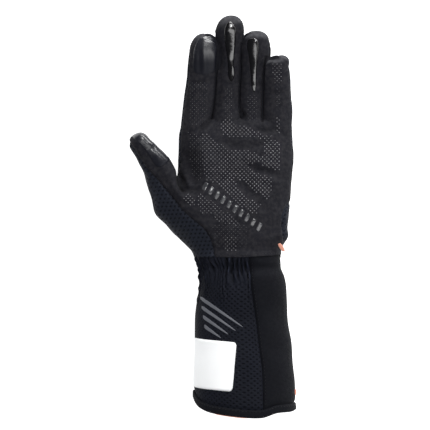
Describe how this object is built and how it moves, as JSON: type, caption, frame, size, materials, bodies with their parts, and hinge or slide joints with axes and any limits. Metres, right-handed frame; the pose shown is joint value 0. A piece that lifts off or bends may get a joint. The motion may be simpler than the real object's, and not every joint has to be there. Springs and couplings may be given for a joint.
{
  "type": "karting glove",
  "caption": "Long-cuffed left karting glove, palm up: dotted suede palm, mesh-knit back, gathered wrist, stitched hem.",
  "frame": {"origin": "middle of the glove's box, on the surface it lies on", "axes": "+Y towards the fingertips, +X towards the little finger, +Z out of the palm"},
  "size_m": [0.1338, 0.3204, 0.0527],
  "materials": {
    "suede": "matte",
    "mesh_knit": "matte",
    "stretch_knit": "matte",
    "silicone": "gloss",
    "label": "satin",
    "orange_tab": "matte"
  },
  "bodies": {
    "root": {"palm_panel": "suede", "hand_back": "mesh_knit", "fourchette_index_middle": "suede", "fourchette_middle_ring": "suede", "fourchette_ring_little": "suede", "index_tip_patch": "silicone", "middle_grip_strip": "silicone", "ring_grip_strip": "silicone", "thumb_tip_patch": "silicone", "cuff_mesh_panel": "mesh_knit", "cuff_plain_panel": "stretch_knit", "cuff_hem": "stretch_knit", "label_patch": "label", "wrist_tab": "orange_tab", "hem_tab": "orange_tab"}
  },
  "joints": []
}
